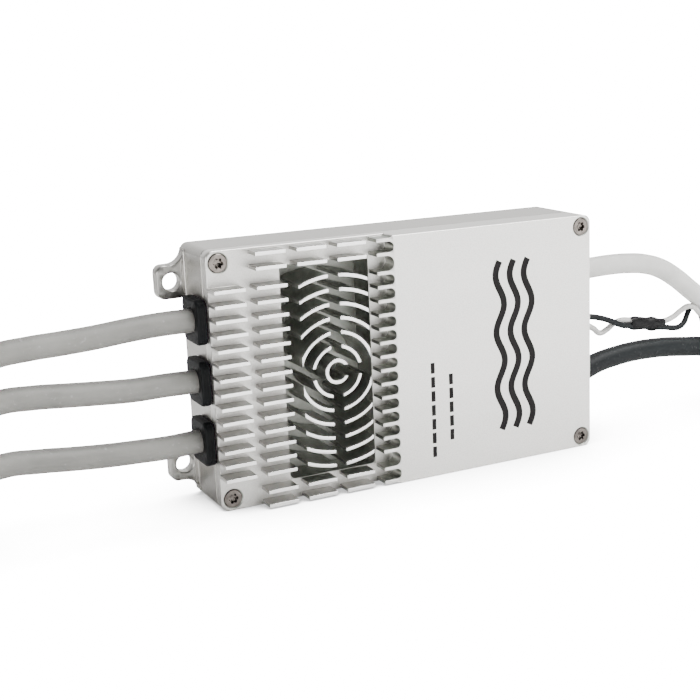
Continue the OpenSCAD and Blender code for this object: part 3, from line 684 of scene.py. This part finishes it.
def printed_strip(shape, left, right):
    """Adds one closed strip of ink between two lists of (x, z) points on the label face."""
    under, over = front_y + 0.01 * MM, front_y - 0.025 * MM
    corners = []
    for (xa, za), (xb, zb) in zip(left, right):
        corners.append([shape.verts.new((x * MM, y, z * MM))
                        for x, z, y in ((xa, za, under), (xb, zb, under), (xb, zb, over), (xa, za, over))])
    for a, b in zip(corners[:-1], corners[1:]):
        for k in range(4):
            n = (k + 1) % 4
            shape.faces.new((a[k], a[n], b[n], b[k]))
    shape.faces.new(corners[0][::-1])
    shape.faces.new(corners[-1])


def made_of_ink(name, shape):
    """Makes the strips one piece of ink that rides with the part."""
    bmesh.ops.recalc_face_normals(shape, faces=shape.faces)
    mesh = bpy.data.meshes.new(name)
    shape.to_mesh(mesh)
    shape.free()
    mesh.materials.append(ink)
    piece = bpy.data.objects.new(name, mesh)
    bpy.context.collection.objects.link(piece)
    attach(piece, "root")


waves = bmesh.new()
foot, height, swing, periods, half_width, steps = 7.2, 35.3, 0.95, 3, 0.72, 120
for middle in (18.9, 22.25, 25.6):
    left, right = [], []
    for k in range(steps + 1):
        z = foot + height * k / steps
        angle = 2 * math.pi * periods * k / steps
        x = middle + swing * math.sin(angle)
        slope = swing * math.cos(angle) * 2 * math.pi * periods / height
        half = half_width / math.hypot(1, slope)
        left.append((x - half, z + half * slope))
        right.append((x + half, z - half * slope))
    printed_strip(waves, left, right)
made_of_ink("three_phase_print", waves)

bars = bmesh.new()
bar_pitch, bar_length, bar_half = 2.9, 2.2, 0.45
for x, top, count in ((2.95, 23.7, 7), (7.05, 20.9, 5)):
    for k in range(count):
        z = top - bar_pitch * k
        end = z - bar_length
        left = [(x - bar_half, z), (x - bar_half, end)]
        right = [(x + bar_half, z), (x + bar_half, end)]
        printed_strip(bars, left, right)
made_of_ink("bar_print", bars)

# ---------------------------------------------------------------------------
# Boards: glass epoxy, 1.6 and 1.0 mm, with solder mask over the tracks. The
# power board is green, the control board on its header is blue.
# ---------------------------------------------------------------------------


def solder_mask(name, colour, track):
    """Glossy mask, lighter where copper lies under it, with the weave of the board in it."""
    material = bpy.data.materials.new(name)
    material.use_nodes = True
    nodes, links = material.node_tree.nodes, material.node_tree.links
    shader = nodes["Principled BSDF"]
    shader.inputs["Coat Weight"].default_value = 0.4
    shader.inputs["Coat Roughness"].default_value = 0.15
    place = nodes.new("ShaderNodeTexCoord")
    cells = nodes.new("ShaderNodeTexVoronoi")
    cells.distance = "CHEBYCHEV"
    cells.feature = "F1"
    cells.inputs["Scale"].default_value = 260
    links.new(place.outputs["Object"], cells.inputs["Vector"])
    edge = nodes.new("ShaderNodeValToRGB")
    edge.color_ramp.interpolation = "CONSTANT"
    low, high = edge.color_ramp.elements
    low.position = 0
    low.color = (*track, 1)
    high.position = 0.38
    high.color = (*colour, 1)
    links.new(cells.outputs["Distance"], edge.inputs["Fac"])
    links.new(edge.outputs["Color"], shader.inputs["Base Color"])
    weave = nodes.new("ShaderNodeTexWave")
    weave.inputs["Scale"].default_value = 900
    weave.inputs["Distortion"].default_value = 1.5
    links.new(place.outputs["Object"], weave.inputs["Vector"])
    rough = nodes.new("ShaderNodeMapRange")
    rough.inputs["To Min"].default_value = 0.28
    rough.inputs["To Max"].default_value = 0.42
    links.new(weave.outputs["Fac"], rough.inputs["Value"])
    links.new(rough.outputs["Result"], shader.inputs["Roughness"])
    bump = nodes.new("ShaderNodeBump")
    bump.inputs["Strength"].default_value = 0.3
    bump.inputs["Distance"].default_value = 0.00003
    links.new(cells.outputs["Distance"], bump.inputs["Height"])
    links.new(bump.outputs["Normal"], shader.inputs["Normal"])
    return material


green_mask = solder_mask("green_solder_mask", (0.008, 0.07, 0.03), (0.02, 0.13, 0.055))
blue_mask = solder_mask("blue_solder_mask", (0.008, 0.03, 0.12), (0.02, 0.06, 0.2))
eased_piece("power_board", "laminate", 0.08, green_mask)
eased_piece("control_board", "laminate", 0.08, blue_mask)
board_steel = machined_metal("zinc_plated_steel", (0.62, 0.63, 0.65), 0.3, 0.25)
eased_piece("board_screws", "turning", 0.08, board_steel)

# ---------------------------------------------------------------------------
# Silicon and passives on the boards: packages moulded in black epoxy, dark
# coated shunts, tan ceramic capacitors, a crystal in a tin-plated can, and a ferrite
# inductor. They are soldered flat; a silicone pad carries the heat away.
# ---------------------------------------------------------------------------
epoxy = moulded("package_epoxy", (0.022, 0.022, 0.024), 0.55, 2600, 0.02)
ferrite = moulded("pressed_ferrite", (0.045, 0.045, 0.05), 0.62, 1800, 0.04)
ceramic = moulded("fired_ceramic", (0.42, 0.30, 0.19), 0.4, 1600, 0.015)
pad_grey = moulded("heat_pad_silicone", (0.30, 0.36, 0.52), 0.7, 1300, 0.06)
tin = machined_metal("tinned_copper", (0.78, 0.78, 0.77), 0.34, 0.2)
eased_piece("mosfets", "packages", 0.15, epoxy)
eased_piece("gate_drivers", "packages", 0.12, epoxy)
eased_piece("microcontroller", "package", 0.12, epoxy)
eased_piece("buck_regulator", "package", 0.12, epoxy)
eased_piece("buck_inductor", "core", 0.35, ferrite)
eased_piece("current_shunts", "strips", 0.12, ferrite)
eased_piece("ceramic_capacitors", "blocks", 0.12, ceramic)
eased_piece("crystal", "can", 0.25, tin)
eased_piece("thermal_pad", "sheet", 0.1, pad_grey)

# ---------------------------------------------------------------------------
# Supply capacitors: four electrolytic cans lying in a row, deep-drawn and
# lacquered aluminium rolled over rubber bungs, on tinned wire leads.
# ---------------------------------------------------------------------------
lacquer = moulded("lacquered_can", (0.06, 0.062, 0.11), 0.3, 1200, 0.01)
eased_piece("capacitor_cans", "drawing", 0.25, lacquer)
eased_piece("capacitor_bungs", "moulding", 0.12, rubber)
eased_piece("capacitor_leads", "wires", 0.05, tin)

# ---------------------------------------------------------------------------
# Terminals and conductors: copper blocks soldered to the power board, each
# bored for the bare end of a heavy lead. The signal wires have solder joints.
# ---------------------------------------------------------------------------
copper = machined_metal("bright_copper", (0.86, 0.46, 0.29), 0.33, 0.3)
eased_piece("phase_terminals", "blocks", 0.25, copper)
eased_piece("power_terminals", "blocks", 0.25, copper)
eased_piece("phase_conductors", "strands", 0.1, copper)
eased_piece("power_conductors", "strands", 0.1, copper)
eased_piece("signal_solder", "fillets", 0.3, tin, 3)

# ---------------------------------------------------------------------------
# Header: a black nylon strip with four gold-plated pins carries the control
# board above the power board.
# ---------------------------------------------------------------------------
eased_piece("header_housing", "moulding", 0.12, nylon)
eased_piece("header_pins", "drawn", 0.06, gold)

# ---------------------------------------------------------------------------
# Studio: a white bench that glows evenly to the camera, its glow dimmed near
# the part by ambient occlusion into a painted contact shadow, and that glows
# by itself towards the part, more at the front: painted light in place of the
# light it would throw back. A room that is bright behind the part and dim
# behind the camera, and three soft boxes.
# ---------------------------------------------------------------------------
bench_mesh = bpy.data.meshes.new("bench")
bench_mesh.from_pydata([(-4, -4, 0), (4, -4, 0), (4, 4, 0), (-4, 4, 0)], [], [(0, 1, 2, 3)])
bench = bpy.data.objects.new("bench", bench_mesh)
bpy.context.collection.objects.link(bench)
paper = bpy.data.materials.new("bench_paper")
paper.use_nodes = True
nodes, links = paper.node_tree.nodes, paper.node_tree.links
matt = nodes["Principled BSDF"]
matt.inputs["Base Color"].default_value = (0.85, 0.85, 0.85, 1)
matt.inputs["Roughness"].default_value = 0.8
glow = nodes.new("ShaderNodeEmission")
# Painted contact shadow: ambient occlusion dims the bench's glow to the camera near the part.
painted_contact_shadow = nodes.new("ShaderNodeAmbientOcclusion")
painted_contact_shadow.inputs["Distance"].default_value = 0.03
painted_contact_shadow.samples = 16
depth = nodes.new("ShaderNodeMapRange")
depth.inputs["From Min"].default_value = 0.25
depth.inputs["From Max"].default_value = 1.0
depth.inputs["To Min"].default_value = 0.8
depth.inputs["To Max"].default_value = 20
links.new(painted_contact_shadow.outputs["AO"], depth.inputs["Value"])
links.new(depth.outputs["Result"], glow.inputs["Strength"])
path = nodes.new("ShaderNodeLightPath")
# Painted light: to other rays the bench glows by itself, more towards the front, and lights the part from
# below and in front.
spot = nodes.new("ShaderNodeTexCoord")
forward = nodes.new("ShaderNodeVectorMath")
forward.operation = "DOT_PRODUCT"
forward.inputs[1].default_value = (0.15, -0.98, 0)
links.new(spot.outputs["Object"], forward.inputs[0])
painted_bench_glow = nodes.new("ShaderNodeMapRange")
painted_bench_glow.inputs["From Min"].default_value = 0.01
painted_bench_glow.inputs["From Max"].default_value = 0.07
painted_bench_glow.inputs["To Min"].default_value = 0
painted_bench_glow.inputs["To Max"].default_value = 1.25
links.new(forward.outputs["Value"], painted_bench_glow.inputs["Value"])
links.new(painted_bench_glow.outputs["Result"], matt.inputs["Emission Strength"])
matt.inputs["Emission Color"].default_value = (1, 1, 1, 1)
either = nodes.new("ShaderNodeMixShader")
links.new(path.outputs["Is Camera Ray"], either.inputs["Fac"])
links.new(matt.outputs["BSDF"], either.inputs[1])
links.new(glow.outputs["Emission"], either.inputs[2])
links.new(either.outputs["Shader"], nodes["Material Output"].inputs["Surface"])
bench_mesh.materials.append(paper)

room = bpy.data.worlds.new("studio")
bpy.context.scene.world = room
room.use_nodes = True
nodes, links = room.node_tree.nodes, room.node_tree.links
backdrop = nodes["Background"]
seen = nodes.new("ShaderNodeBackground")
seen.inputs["Color"].default_value = (1, 1, 1, 1)
seen.inputs["Strength"].default_value = 20
path = nodes.new("ShaderNodeLightPath")
either = nodes.new("ShaderNodeMixShader")
links.new(path.outputs["Is Camera Ray"], either.inputs["Fac"])
links.new(backdrop.outputs["Background"], either.inputs[1])
links.new(seen.outputs["Background"], either.inputs[2])
links.new(either.outputs["Shader"], nodes["World Output"].inputs["Surface"])
toward = nodes.new("ShaderNodeTexCoord")
along = nodes.new("ShaderNodeVectorMath")
along.operation = "DOT_PRODUCT"
along.inputs[1].default_value = (0.49, 0.87, 0.05)
links.new(toward.outputs["Generated"], along.inputs[0])
wall = nodes.new("ShaderNodeMapRange")
wall.inputs["From Min"].default_value = 0.1
wall.inputs["From Max"].default_value = 0.95
wall.inputs["To Min"].default_value = 0.08
wall.inputs["To Max"].default_value = 1.7
links.new(along.outputs["Value"], wall.inputs["Value"])
links.new(wall.outputs["Result"], backdrop.inputs["Strength"])
backdrop.inputs["Color"].default_value = (1, 1, 1, 1)


def soft_box(name, place, size, power):
    """A square area light that faces the part."""
    lamp = bpy.data.lights.new(name, "AREA")
    lamp.size = size
    lamp.energy = power
    box = bpy.data.objects.new(name, lamp)
    bpy.context.collection.objects.link(box)
    box.location = place
    box.rotation_euler = (Vector((0, 0, 0.02)) - Vector(place)).to_track_quat("-Z", "Y").to_euler()


soft_box("front_right_box", (0.42, -0.62, 0.12), 0.5, 2.6)
soft_box("left_front_box", (-0.52, -0.3, 0.05), 0.22, 2.2)
soft_box("top_box", (0.3, -0.25, 0.75), 0.6, 15)
